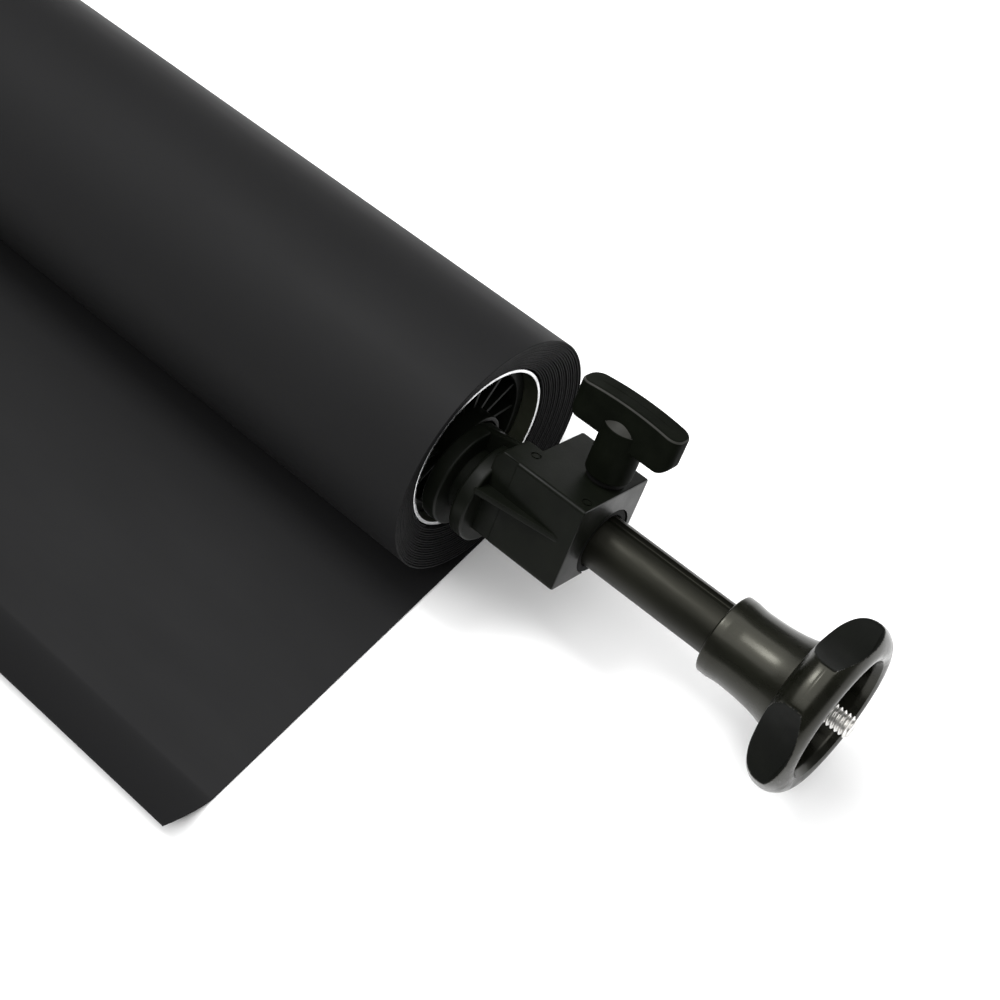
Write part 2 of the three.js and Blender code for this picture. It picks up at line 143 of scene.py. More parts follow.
KNOB_X = 38.8
KNOB_STUD_R = 3
KNOB_STUD_TIP = 10.9
KNOB_STUD_TOP = 30
KNOB_HALF = 16.5
KNOB_SIDE = 4.5
KNOB_BOTTOM = 30.2
KNOB_TOP = 40.8
KNOB_CROWN = 1.3
BOSS_R = 6.6
BOSS_BOTTOM = 19.3
BOSS_SHOULDER = 34.6  # the ledge slopes up and in from here; it carries a painted highlight
BOSS_TOP = 36.8
BOSS_TOP_R = 4.4
SPACER_BOTTOM = 17.5
SPACER_TOP = 19
SPACER_R = 5.6
CLAMP_NUT_BOTTOM = 11.6
CLAMP_NUT_TOP = 15.5
CLAMP_NUT_FLATS = 10
PAD_TIP = 6.7
PAD_SHOULDER = 8.8
PAD_TOP = 10.6
PAD_NOSE_R = 1.5
PAD_HEAD_R = 3

STUD_R = 3.175
STUD_PITCH = 1.27
STUD_START = 78
STUD_END = 128.6
STUD_HOLE_R = STUD_R + GAP
INSERT_START = 84
INSERT_R = 4.7
LOCK_NUT_START = 79
LOCK_NUT_END = 83.4
LOCK_NUT_FLATS = 8
THRUST_START = 104.4
THRUST_END = 106
THRUST_R = 7.6
STUD_NUT_START = 112.3
STUD_NUT_END = 116.2
STUD_NUT_FLATS = 11

SLEEVE_START = 87.3
SLEEVE_BORE_R = 8.5
SLEEVE_LIP_R = 11.85
WHEEL_WEB_START = 106.3
NUT_POCKET_START = 112
NUT_POCKET_R = 6.9
WHEEL_FLOOR = 116.5
RECESS_R = 17.5
SCALLOP_R = 33
SCALLOP_BOTTOM_R = 19.8  # distance from the axle to the deepest line of a scallop
SCALLOP_START = 109
SCOOP_END = 124.6  # the scallops' matt look ends here, not in the CAD
BEAD_START = 122.4  # the scallops rise again here, and leave a bead round the wheel's face, not in the CAD
BEAD_ROUND = 7  # mm that the bead starts earlier for each square radian off the middle of a scallop
BEAD_RISE = 1.4
BEAD_HEIGHT = 4
WHEEL_TURN = math.radians(4.7)  # of the first scallop from square to the clamp block
FAR = 1e3  # longer than any radius

# Sides of the round shapes.
WHEEL = 288
FINE = 160
ROUND = 96
THREAD = 64
SMALL = 48
HOLE = 32
TINY = 24

body_of = {node: body for body, nodes in frame["record"]["behaviour"]["bodies"].items() for node in nodes}
slot_of = {part["node"]: part["material_slot"] for part in frame["record"]["subparts"]}


# ---- materials ----

NOISE_ROUGHNESS = 0.55
COLOR_SPAN = (0.35, 0.7)  # the noise values between which a colour changes to its other
ROUGHNESS_SPAN = (0.3, 0.7)
OLIVE_SHEEN = (1.0, 0.98, 0.83, 1)
MOULDED_COLOR = (0.0026, 0.0032, 0.0021)
MOULDED_OTHER = (0.0038, 0.0046, 0.003)


class Surface:
    """A Principled material with helpers for procedural detail in object space (metres)."""

    def __init__(self, name, color, roughness, metallic=0.0, specular=0.5, coat=0.0, coat_roughness=0.1):
        self.material = bpy.data.materials.new(name)
        self.material.use_nodes = True
        self.tree = self.material.node_tree
        self.nodes = self.tree.nodes
        self.shader = self.nodes["Principled BSDF"]
        self.color = color
        values = {
            "Base Color": (*color, 1),
            "Roughness": roughness,
            "Metallic": metallic,
            "Specular IOR Level": specular,
            "Coat Weight": coat,
            "Coat Roughness": coat_roughness,
        }
        for socket, value in values.items():
            self.shader.inputs[socket].default_value = value
        self.place = self.nodes.new("ShaderNodeTexCoord").outputs["Object"]
        self.height = None

    def link(self, start, end):
        self.tree.links.new(start, end)

    def stretched(self, scale):
        mapping = self.nodes.new("ShaderNodeMapping")
        mapping.inputs["Scale"].default_value = scale
        self.link(self.place, mapping.inputs["Vector"])
        return mapping.outputs["Vector"]

    def noise(self, scale, detail, stretch=None):
        node = self.nodes.new("ShaderNodeTexNoise")
        node.inputs["Scale"].default_value = scale
        node.inputs["Detail"].default_value = detail
        node.inputs["Roughness"].default_value = NOISE_ROUGHNESS
        self.link(self.stretched(stretch) if stretch else self.place, node.inputs["Vector"])
        return node.outputs["Fac"]

    def vary_color(self, fac, other):
        ramp = self.nodes.new("ShaderNodeValToRGB")
        for element, position, color in zip(ramp.color_ramp.elements, COLOR_SPAN, (self.color, other)):
            element.position = position
            element.color = (*color, 1)
        self.link(fac, ramp.inputs["Fac"])
        self.link(ramp.outputs["Color"], self.shader.inputs["Base Color"])

    def vary_roughness(self, fac, low, high):
        node = self.nodes.new("ShaderNodeMapRange")
        for socket, value in zip(("From Min", "From Max", "To Min", "To Max"), (*ROUGHNESS_SPAN, low, high)):
            node.inputs[socket].default_value = value
        self.link(fac, node.inputs["Value"])
        self.link(node.outputs["Result"], self.shader.inputs["Roughness"])

    def bump(self, fac, distance, strength):
        node = self.nodes.new("ShaderNodeBump")
        node.inputs["Distance"].default_value = distance
        node.inputs["Strength"].default_value = strength
        self.link(fac, node.inputs["Height"])
        if self.height is not None:
            self.link(self.height, node.inputs["Normal"])
        self.height = node.outputs["Normal"]
        self.link(self.height, self.shader.inputs["Normal"])


def vinyl():
    surface = Surface("vinyl_satin", (0.0112, 0.0112, 0.0115), 0.52, specular=0.035)
    surface.vary_color(surface.noise(9, 4), (0.0122, 0.0122, 0.0126))
    surface.vary_roughness(surface.noise(60, 5, stretch=(0.25, 1, 1)), 0.48, 0.58)
    surface.bump(surface.noise(2400, 2), 0.00003, 0.5)
    surface.bump(surface.noise(420, 3, stretch=(1, 0.3, 0.3)), 0.00002, 0.6)
    surface.bump(surface.noise(14, 2, stretch=(0.35, 1, 1)), 0.0004, 0.25)
    return surface.material


def moulded(name, color, other, roughness, specular=0.08):
    surface = Surface(name, color, roughness, specular=specular)
    surface.vary_color(surface.noise(160, 5), other)
    surface.vary_roughness(surface.noise(90, 4), roughness - 0.07, roughness + 0.1)
    surface.bump(surface.noise(1500, 3), 0.00003, 0.6)
    surface.bump(surface.noise(120, 2), 0.00008, 0.35)
    return surface.material


def glossy(name, color, roughness, specular, coat):
    surface = Surface(name, color, roughness, specular=specular, coat=coat, coat_roughness=0.14)
    surface.shader.inputs["Specular Tint"].default_value = OLIVE_SHEEN
    surface.vary_color(surface.noise(70, 4), tuple(c * 1.5 for c in color))
    surface.vary_roughness(surface.noise(240, 6, stretch=(0.2, 1, 1)), roughness - 0.07, roughness + 0.12)
    surface.bump(surface.noise(110, 2), 0.00006, 0.4)
    surface.bump(surface.noise(900, 4, stretch=(0.15, 1, 1)), 0.00001, 0.4)
    return surface.material


def metal(name, color, roughness, grain=(1, 1, 1)):
    scale = 1400
    surface = Surface(name, color, roughness, metallic=1.0)
    surface.vary_color(surface.noise(scale / 6, 4, stretch=grain), tuple(c * 0.7 for c in color))
    surface.vary_roughness(surface.noise(scale / 3, 4, stretch=grain), roughness - 0.08, roughness + 0.15)
    surface.bump(surface.noise(scale, 3, stretch=grain), 0.00002, 0.5)
    return surface.material


LOOKS = {
    "vinyl": vinyl(),
    "aluminium": metal("aluminium_drawn", (0.78, 0.78, 0.79), 0.3, (0.06, 1, 1)),
    "moulded_black": moulded("plastic_moulded", MOULDED_COLOR, MOULDED_OTHER, 0.4),
    "gloss_black": glossy("plastic_glossy", (0.0026, 0.0028, 0.0017), 0.25, 0.24, 0.05),
    "soft_black": moulded("plastic_soft", (0.004, 0.004, 0.004), (0.006, 0.006, 0.0055), 0.7),
    "axle_black": glossy("axle_coated", (0.0036, 0.0037, 0.0026), 0.4, 0.13, 0.0),
    "steel": metal("steel_plated", (0.6, 0.6, 0.59), 0.28),
    "bright_steel": metal("steel_bright", (0.8, 0.79, 0.76), 0.33),
    "brass": metal("brass_turned", (0.7, 0.52, 0.22), 0.3),
}
# Painted shade: the core's inner wall is coloured a dull dark olive for the shade deep inside the tube, not
# for the aluminium's own colour.
CORE_INSIDE_SHADE = moulded("core_inside_painted_shade", (0.019, 0.021, 0.014), (0.027, 0.029, 0.02), 0.6)
KNOB = moulded("plastic_knob_matt", MOULDED_COLOR, MOULDED_OTHER, 0.5, specular=0.012)
END_FACE = moulded("plastic_face_smooth", MOULDED_COLOR, MOULDED_OTHER, 0.34, specular=0.2)
# Painted highlight: a lighter colour on the boss's ledge and along the bar's top edge, where light catches
# them.
LEDGE_HIGHLIGHT = moulded("plastic_ledge_painted_highlight", (0.018, 0.018, 0.016), (0.027, 0.027, 0.024), 0.5)
SCOOP = moulded("plastic_scoop_matt", (0.0022, 0.0026, 0.0019), (0.003, 0.0035, 0.0025), 0.6)


# ---- shapes ----

SHARP_ANGLE = math.radians(38)
WELD = 0.002  # points closer than this become one


def rounded(corners, steps=4, loop=True):
    """Points along an outline of (x, y, corner radius) corners."""
    points = []
    for i, (x, y, radius) in enumerate(corners):
        here = Vector((x, y))
        if radius == 0 or (not loop and i in (0, len(corners) - 1)):
            points.append((x, y))
            continue
        before = Vector(corners[i - 1][:2]) - here
        after = Vector(corners[(i + 1) % len(corners)][:2]) - here
        reach = min(radius, before.length * 0.49, after.length * 0.49)
        start = here + before.normalized() * reach
        end = here + after.normalized() * reach
        for k in range(steps + 1):
            u = k / steps
            points.append(tuple(start * (1 - u) ** 2 + here * 2 * u * (1 - u) + end * u**2))
    return points


def spline(points, steps):
    """Points of a Catmull-Rom curve through points, ends included."""
    padded = [points[0], *points, points[-1]]
    made = []
    for i in range(len(points) - 1):
        a, b, c, d = (np.array(p, float) for p in padded[i : i + 4])
        for k in range(steps):
            u = k / steps
            square, cube = 2 * a - 5 * b + 4 * c - d, 3 * b - a - 3 * c + d
            made.append(tuple(0.5 * (2 * b + (c - a) * u + square * u**2 + cube * u**3)))
    made.append(tuple(points[-1]))
    return made


def divided(points, longest):
    """The same closed outline with no step longer than longest."""
    made = []
    for i, point in enumerate(points):
        a, b = np.array(point, float), np.array(points[(i + 1) % len(points)], float)
        parts = max(1, math.ceil(np.linalg.norm(b - a) / longest))
        made += [tuple(a + (b - a) * k / parts) for k in range(parts)]
    return made


def skin(rows, count):
    """Faces between rows of count points each, and one face over each end."""
    faces = []
    for i in range(rows - 1):
        for k in range(count):
            m = (k + 1) % count
            faces.append((i * count + k, i * count + m, (i + 1) * count + m, (i + 1) * count + k))
    last = (rows - 1) * count
    return faces + [tuple(range(count)), tuple(range(last, last + count))]


def to_mesh(points, faces):
    mesh = bpy.data.meshes.new("made")
    mesh.from_pydata([tuple(p) for p in points], [], faces)
    work = bmesh.new()
    work.from_mesh(mesh)
    bmesh.ops.recalc_face_normals(work, faces=work.faces)
    work.to_mesh(mesh)
    work.free()
    return mesh


def lathe(profile, sides=ROUND, reshape=None):
    """Turns a closed outline of (x, radius) points about X. Points on the axis become single vertices."""
    points, rings = [], []
    for x, r in profile:
        if r < 1e-6:
            rings.append([len(points)] * sides)
            points.append((x, 0.0, 0.0))
            continue
        rings.append(list(range(len(points), len(points) + sides)))
        for k in range(sides):
            angle = 2 * math.pi * k / sides
            radius = reshape(x, r, angle) if reshape else r
            points.append((x, radius * math.cos(angle), radius * math.sin(angle)))
    faces = []
    closed = profile[0][1] > 1e-6
    for i in range(len(rings) if closed else len(rings) - 1):
        a, b = rings[i], rings[(i + 1) % len(rings)]
        for k in range(sides):
            m = (k + 1) % sides
            corners = list(dict.fromkeys((a[k], a[m], b[m], b[k])))
            if len(corners) > 2:
                faces.append(corners)
    return to_mesh(points, faces)


def ring(start, end, inner, outer, bevel=0.2, sides=SMALL):
    corners = [(start, inner, bevel), (start, outer, bevel), (end, outer, bevel), (end, inner, bevel)]
    return lathe(rounded(corners, 3), sides)


def rod(start, end, r, bevel=0.2, sides=SMALL):
    corners = [(start, 0, 0), (start, r, bevel), (end, r, bevel), (end, 0, 0)]
    return lathe(rounded(corners, 3, loop=False), sides)


def prism(outline, start, end, axis, bevel=0.0):
    """Extrudes an outline along axis (0 X, 1 Y or 2 Z), with its sharp edges rounded off."""
    others = [i for i in range(3) if i != axis]
    points = []
    for level in (start, end):
        for a, b in outline:
            point = [0.0, 0.0, 0.0]
            point[axis], point[others[0]], point[others[1]] = level, a, b
            points.append(point)
    n = len(outline)
    faces = [list(range(n)), list(range(n, 2 * n))]
    faces += [[i, (i + 1) % n, n + (i + 1) % n, n + i] for i in range(n)]
    mesh = to_mesh(points, faces)
    if bevel:
        work = bmesh.new()
        work.from_mesh(mesh)
        sharp = [edge for edge in work.edges if edge.calc_face_angle(0) > SHARP_ANGLE]
        bmesh.ops.bevel(
            work, geom=sharp, offset=bevel, segments=2, profile=0.5, affect="EDGES", clamp_overlap=True
        )
        work.to_mesh(mesh)
        work.free()
    return mesh


def moved(mesh, matrix):
    mesh.transform(matrix)
    return mesh


def standing(mesh):
    """Stands a shape that was made along X up on the clamp block, at the knob."""
    return moved(mesh, Matrix.Translation((KNOB_X, 0, 0)) @ Matrix.Rotation(-math.pi / 2, 4, "Y"))


def box(low, high, bevel=0.0):
    outline = [(low[1], low[2]), (high[1], low[2]), (high[1], high[2]), (low[1], high[2])]
    return prism(outline, low[0], high[0], 0, bevel)


def carved(meshes, operations):
    """The first mesh after a boolean operation with each of the others in turn."""
    made = [bpy.data.objects.new("part", mesh) for mesh in meshes]
    for obj in made:
        bpy.context.scene.collection.objects.link(obj)
    for other, operation in zip(made[1:], operations):
        step = made[0].modifiers.new("step", "BOOLEAN")
        step.operation = operation
        step.solver = "EXACT"
        step.object = other
    evaluated = made[0].evaluated_get(bpy.context.evaluated_depsgraph_get())
    mesh = bpy.data.meshes.new_from_object(evaluated)
    for obj in made:
        bpy.data.objects.remove(obj)
    return mesh


def combined(shapes, cuts=()):
    """One mesh: the shapes joined, with the cuts taken away."""
    mesh = carved([*shapes, *cuts], ["UNION"] * (len(shapes) - 1) + ["DIFFERENCE"] * len(cuts))
    work = bmesh.new()
    work.from_mesh(mesh)
    bmesh.ops.remove_doubles(work, verts=work.verts, dist=WELD)
    bmesh.ops.dissolve_degenerate(work, edges=work.edges, dist=WELD)
    work.to_mesh(mesh)
    work.free()
    return mesh


def place(mesh, name, node, matrix, smooth=40, look=None, accent=None, where=None):
    """Makes the visible piece that stands for a CAD node. Faces whose centre passes where take the accent."""
    obj = bpy.data.objects.new(name, mesh)
    bpy.context.scene.collection.objects.link(obj)
    mesh.materials.clear()
    mesh.materials.append(look or LOOKS[slot_of[node]])
    if accent:
        mesh.materials.append(accent)
        for face in mesh.polygons:
            face.material_index = int(where(face.center))
    mesh.transform(matrix)
    mesh.shade_smooth()
    mesh.set_sharp_from_angle(angle=math.radians(smooth))
    normals = obj.modifiers.new("normals", "WEIGHTED_NORMAL")
    normals.keep_sharp = True
    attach(obj, body_of[node])
    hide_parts(node)
    return obj


def metres(x=0.0, turn=0.0, tilt=0.0):
    """From a piece's own millimetres to the row frame: its end of the roll, then its tilt about the axle."""
    centre = Matrix.Translation((x * MM, AXIS_Y * MM, ROLL_R * MM))
    return centre @ Matrix.Rotation(turn, 4, "Z") @ Matrix.Rotation(-tilt, 4, "X") @ Matrix.Scale(MM, 4)


ENDS = {"right": (CORE_HALF, 0.0), "left": (-CORE_HALF, math.pi)}


def both_ends(mesh, kind, tilt=BLOCK_TILT, **looks):
    for side, (x, turn) in ENDS.items():
        place(mesh.copy(), f"{kind}_{side}_shape", f"{kind}_{side}", metres(x, turn, tilt), **looks)


# ---- the roll ----

def core_tube():
    corners = [
        (-CORE_HALF, CORE_INNER_R, 0.2),
        (-CORE_HALF, CORE_OUTER_R, 0.25),
        (CORE_HALF, CORE_OUTER_R, 0.25),
        (CORE_HALF, CORE_INNER_R, 0.2),
    ]
    return lathe(rounded(corners, 3), FINE)


# Faces on the core's inner wall, which take the painted shade.
def inside_core(point):
    tolerance = 0.04
    return math.hypot(point.y, point.z) < CORE_INNER_R + tolerance and abs(point.x) < CORE_HALF


def edge_shift(r, angle):
    """How far a turn's edge stands out along X: the telescoped roll, a little uneven from turn to turn."""
    inner = CORE_OUTER_R + GAP
    telescoped = INNER_SHIFT + (TELESCOPE - INNER_SHIFT) * (min(r, ROLL_R) - inner) / (ROLL_R - inner)
    waves = ((0.05, 0.37, 0), (0.03, 1.618, 1), (0.02, 2.71, 0))  # height, turns per turn, start
    return telescoped + sum(height * math.sin(rate * angle + start) for height, rate, start in waves)


def backdrop_sheet():
    """The whole sheet: curled front edge, flat tail, then the spiral in to the core."""
    stations = []  # (outer point, inner point, shift) across the thickness, in (y, z)
    curl_steps, flat_steps = 14, 24
    curl_power = 1.4
    for i in range(curl_steps, 0, -1):
        u = i / curl_steps
        tilt = math.atan(TAIL_CURL_LIFT * curl_power * u ** (curl_power - 1) / TAIL_CURL_RUN)
        low = np.array([-TAIL_FLAT - TAIL_CURL_RUN * u, TAIL_CURL_LIFT * u**curl_power - ROLL_R])
        stations.append((low, low + SHEET_THICKNESS * np.array([math.sin(tilt), math.cos(tilt)]), TELESCOPE))
    for i in range(flat_steps):
        low = np.array([-TAIL_FLAT * (1 - i / flat_steps), -ROLL_R])
        stations.append((low, low + (0, SHEET_THICKNESS), TELESCOPE))
    turns = (ROLL_R - CORE_OUTER_R - GAP - SHEET_THICKNESS) / TURN_PITCH
    steps = round(turns * ROUND)
    for i in range(steps + 1):
        angle = 2 * math.pi * i / ROUND
        r = ROLL_R - TURN_PITCH * i / ROUND
        way = np.array([math.sin(angle), -math.cos(angle)])
        blend_in = min(1.0, i / (ROUND / 2))
        shift = TELESCOPE + (edge_shift(r, angle) - TELESCOPE) * blend_in
        stations.append((way * r, way * (r - SHEET_THICKNESS), shift))
    half, soft = SHEET_WIDTH / 2, 0.12
    section = [
        (half - soft, 0.0), (half, 0.25), (half, 0.75), (half - soft, 1.0),
        (-half + soft, 1.0), (-half, 0.75), (-half, 0.25), (-half + soft, 0.0),
    ]
    points = []
    for outer, inner, shift in stations:
        for x, share in section:
            y, z = outer + (inner - outer) * share
            points.append((x + shift, y, z))
    length = TAIL_FLAT + math.hypot(TAIL_CURL_RUN, TAIL_CURL_LIFT)
    length += math.pi * turns * (ROLL_R + CORE_OUTER_R + GAP)
    return to_mesh(points, skin(len(stations), len(section))), length


def core_plug():
    """Ring, hub and radial fins, whose ends reach a little into both."""
    ring_inner = PLUG_RING_R - PLUG_RING_WALL
    parts = [
        ring(PLUG_START, PLUG_END, ring_inner, PLUG_RING_R, 0.5, ROUND),
        ring(PLUG_START, PLUG_HUB_END, AXLE_R + LOOSE, PLUG_HUB_R, 0.4, SMALL),
    ]
    first_fin = 0.27  # of a fin's pitch
    low = (PLUG_START + 2, PLUG_HUB_R - 0.6, -PLUG_FIN_HALF)
    high = (PLUG_END - 1, ring_inner + 0.8, PLUG_FIN_HALF)
    for i in range(PLUG_FINS):
        angle = (i + first_fin) * 2 * math.pi / PLUG_FINS
        parts.append(moved(box(low, high, 0.25), Matrix.Rotation(angle, 4, "X")))
    return combined(parts)


# ---- the adapter ----

def clamp_block():
    """Block with two round lobes on a neck, a web and a gusset, bored for the axle and the clamp screw."""

    def lobe(start, end, r, bevel):
        return moved(rod(start, end, r, bevel, ROUND), Matrix.Translation((0, LOBE_ACROSS, LOBE_UP)))

    corners = [
        (BLOCK_LEFT, BLOCK_BOTTOM, BLOCK_CORNER_R),
        (BLOCK_RIGHT, BLOCK_BOTTOM, BLOCK_CORNER_R),
        (BLOCK_RIGHT, BLOCK_TOP, BLOCK_CORNER_R),
        (BLOCK_LEFT, BLOCK_TOP, BLOCK_CORNER_R),
    ]
    body = prism(rounded(corners, 4), BLOCK_START, BLOCK_END, 0, 0.6)
    inside = BLOCK_START + 1  # how far the neck and the web reach into the block
    neck = prism([
        (NECK_START, NECK_BOTTOM), (inside, NECK_BOTTOM), (inside, BLOCK_TOP),
        (NECK_START + NECK_CORNER_RUN, BLOCK_TOP), (NECK_START, BLOCK_TOP - NECK_CORNER_DROP),
    ], NECK_LEFT, NECK_RIGHT, 1, 0.5)
    web = prism([
        (WEB_START, LOBE_UP), (inside, LOBE_UP), (inside, WEB_HIGH_TOP), (WEB_START, WEB_LOW_TOP),
    ], WEB_LEFT, WEB_RIGHT, 1, 0.4)
    gusset = prism([
        (GUSSET_START, GUSSET_ROOT), (GUSSET_START, GUSSET_REACH), (GUSSET_START + 1, GUSSET_REACH),
        (GUSSET_END, GUSSET_END_REACH), (GUSSET_END, GUSSET_ROOT),
    ], GUSSET_BOTTOM, GUSSET_TOP, 2, 0.35)
    shapes = [body, *(lobe(*size) for size in LOBES), neck, web, gusset]
    before, past, under, over = -5, BLOCK_END + 1.5, 7, BLOCK_TOP + 1.8  # where the cuts start and end
    pocket, pocket_end, pocket_mouth = CLAMP_NUT_FLATS / 2 + GAP, -6.1, 14
    cuts = [
        rod(before, past, AXLE_R + GAP, 0.0, SMALL),
        rod(BUSH_START - GAP, past, BUSH_R + GAP, 0.0, SMALL),
        standing(rod(under, over, KNOB_STUD_R + LOOSE, 0.0, HOLE)),
        box(
            (KNOB_X - pocket, pocket_end, CLAMP_NUT_BOTTOM - GAP),
            (KNOB_X + pocket, pocket_mouth, CLAMP_NUT_TOP + GAP),
        ),
    ]
    for x, y in MARKS:
        mark = ring(BLOCK_TOP - MARK_DEPTH, over, MARK_INNER_R, MARK_OUTER_R, 0.0, TINY)
        cuts.append(moved(mark, Matrix.Translation((x, y, 0)) @ Matrix.Rotation(-math.pi / 2, 4, "Y")))
    return combined(shapes, cuts)


def axle_bush():
    return ring(BUSH_START, BUSH_END, AXLE_R + GAP, BUSH_R, 0.35, ROUND)


def axle_rod():
    """Tube with a keyway along its top and a groove for its clip."""
    key_places = (0.97, 0.94, 0.8, 0.0, -0.8, -0.94, -0.97)  # across the keyway, in half widths
    key_depths = (0.35, 0.8, 1.0, 1.0, 1.0, 0.8, 0.35)

    def outline(r, keyed):
        edge = math.asin(KEYWAY_HALF_WIDTH / r)
        points = []
        for k in range(ROUND + 1):
            angle = math.pi / 2 + edge + (2 * math.pi - 2 * edge) * k / ROUND
            points.append((r * math.cos(angle), r * math.sin(angle)))
        low = AXLE_R - KEYWAY_DEPTH
        for place_across, share in zip(key_places, key_depths):
            y = KEYWAY_HALF_WIDTH * place_across
            top = math.sqrt(r * r - y * y)
            points.append((y, top + (low - top) * share if keyed else top))
        return points

    levels = [
        (AXLE_START, AXLE_R - 0.5, False), (AXLE_START + 0.5, AXLE_R, False),
        (CLIP_GROOVE_START, AXLE_R, False), (CLIP_GROOVE_START, CLIP_GROOVE_R, False),
        (CLIP_GROOVE_END, CLIP_GROOVE_R, False), (CLIP_GROOVE_END, AXLE_R, False),
        (KEYWAY_START, AXLE_R, False), (KEYWAY_START + 0.3, AXLE_R, True),
        (KEYWAY_END - 0.3, AXLE_R, True), (KEYWAY_END, AXLE_R, False),
        (AXLE_END - 0.4, AXLE_R, False), (AXLE_END, AXLE_R - 0.4, False),
    ]
    points, rings = [], []
    for x, r, keyed in levels:
        made = outline(r, keyed)
        rings.append(range(len(points), len(points) + len(made)))
        points += [(x, y, z) for y, z in made]
    count = len(rings[0])
    for x in (AXLE_END, AXLE_START):
        rings.append(range(len(points), len(points) + count))
        for _, y, z in points[:count]:
            shrink = AXLE_BORE_R / math.hypot(y, z)
            points.append((x, y * shrink, z * shrink))
    faces = []
    for i in range(len(rings)):
        a, b = rings[i], rings[(i + 1) % len(rings)]
        faces += [(a[k], a[(k + 1) % count], b[(k + 1) % count], b[k]) for k in range(count)]
    return to_mesh(points, faces)


def hex_nut(start, end, flats, hole):
    """Six-sided nut with its corners turned off at both ends."""
    corner = flats / math.sqrt(3)
    chamfer, clear_r = 0.6, corner + 0.2
    outline = [(corner * math.cos(i * math.pi / 3), corner * math.sin(i * math.pi / 3)) for i in range(6)]
    body = prism(outline, start, end, 0, 0.15)
    turned = lathe([
        (start, 0), (start, flats * 0.5), (start + chamfer, clear_r),
        (end - chamfer, clear_r), (end, flats * 0.5), (end, 0),
    ], SMALL)
    return combined([carved([body, turned], ["INTERSECT"])], [rod(start - 1, end + 1, hole, 0.0, HOLE)])


def clamp_pad():
    corners = [
        (PAD_TIP, 0, 0), (PAD_TIP, PAD_NOSE_R, 0.3), (PAD_SHOULDER, PAD_NOSE_R, 0.1),
        (PAD_SHOULDER, PAD_HEAD_R, 0.3), (PAD_TOP, PAD_HEAD_R, 0.3), (PAD_TOP, 0, 0),
    ]
    return standing(lathe(rounded(corners, 3, loop=False), SMALL))


def knob_handle():
    """T-bar with a crowned top, rounded in plan and under its ends, on a boss with a half-moon ledge."""
    plan_r, low_r, least_r = 3.6, 3.2, 0.02
    corner_steps, side_steps = 7, 14

    def plan(inset):
        """The bar's outline seen from above, moved in by inset."""
        r = max(plan_r - inset, least_r)
        ends, sides = KNOB_HALF - inset - r, max(KNOB_SIDE - inset - r, 0.0)
        points = []
        for k, (a, b) in enumerate(((1, 1), (-1, 1), (-1, -1), (1, -1))):
            for m in range(corner_steps + 1):
                angle = (k + m / corner_steps) * math.pi / 2
                points.append((a * ends + r * math.cos(angle), b * sides + r * math.sin(angle)))
            if k % 2 == 0:
                steps = range(1, side_steps)
                points += [(a * ends * (1 - 2 * m / side_steps), b * (sides + r)) for m in steps]
        return points

    def heights(x):
        over = max(0.0, abs(x) - (KNOB_HALF - low_r)) / low_r
        return KNOB_BOTTOM + low_r * (1 - math.sqrt(max(0.0, 1 - over**2))), bar_top(x)

    top_r, under_r = 0.75, 0.6  # rounding of the bar's upper and lower edges
    insets = (4.4, 3.2, 1.8)
    levels = [(inset, 0.0, 0.0) for inset in insets]  # inset, lift, share of the height
    for a in np.linspace(0, math.pi / 2, 4):
        levels.append((under_r * (1 - math.sin(a)), under_r * (1 - math.cos(a)), 0.0))
    for a in np.linspace(0, math.pi / 2, 5):
        levels.append((top_r * (1 - math.cos(a)), -top_r * (1 - math.sin(a)), 1.0))
    levels += [(inset, 0.0, 1.0) for inset in reversed(insets)]
    points = []
    for inset, lift, share in levels:
        for x, y in plan(inset):
            floor_z, top_z = heights(x)
            points.append((x + KNOB_X, y, floor_z + (top_z - floor_z) * share + lift))
    bar = to_mesh(points, skin(len(levels), len(plan(0))))
    boss_outline = [
        (BOSS_BOTTOM, 0, 0), (BOSS_BOTTOM, BOSS_R, 0.5), (BOSS_SHOULDER, BOSS_R, 0.4),
        (BOSS_TOP, BOSS_TOP_R, 0.1), (BOSS_TOP, 0, 0),
    ]
    boss = standing(lathe(rounded(boss_outline, 3, loop=False)))
    hole = standing(rod(BOSS_BOTTOM - 1.3, KNOB_STUD_TOP + GAP, KNOB_STUD_R + GAP, 0.0, HOLE))
    return combined([bar, boss], [hole])


def on_end_face(point):
    """The smooth outer face of the clamp block."""
    return point.x > BLOCK_END - 0.15


def bar_top(x):
    """Height of the knob bar's crowned top at a distance from the middle of the bar."""
    return KNOB_TOP + KNOB_CROWN * (1 - (x / KNOB_HALF) ** 2)


def on_highlit_edge(point):
    """The slope round the boss's top, outside the bar, and the edge round the bar's top, which take a lighter
    colour as a painted highlight.
    """
    edge_start, edge_end = 0.06, 0.4  # below the bar's top
    x = point.x - KNOB_X
    on_boss = BOSS_SHOULDER < point.z < BOSS_TOP and math.hypot(x, point.y) < BOSS_R + 0.15
    beside_bar = abs(point.y) > KNOB_SIDE + 0.1
    return on_boss and beside_bar or edge_start < bar_top(x) - point.z < edge_end


def smooth_step(share):
    """0 up to share 0 and 1 from share 1, with a soft rise between."""
    share = min(max(share, 0.0), 1.0)
    return share * share * (3 - 2 * share)


def scallop_limit(angle, x):
    """Distance from the axle to the nearest scallop's surface along a direction, or a very long one."""
    centre = SCALLOP_BOTTOM_R + SCALLOP_R
    off = (angle - WHEEL_TURN + math.pi / 4) % (math.pi / 2) - math.pi / 4
    if abs(centre * math.sin(off)) >= SCALLOP_R:
        return FAR
    bottom = centre * math.cos(off) - math.sqrt(SCALLOP_R**2 - (centre * math.sin(off)) ** 2)
    return bottom + BEAD_HEIGHT * smooth_step((x - BEAD_START + BEAD_ROUND * off**2) / BEAD_RISE)


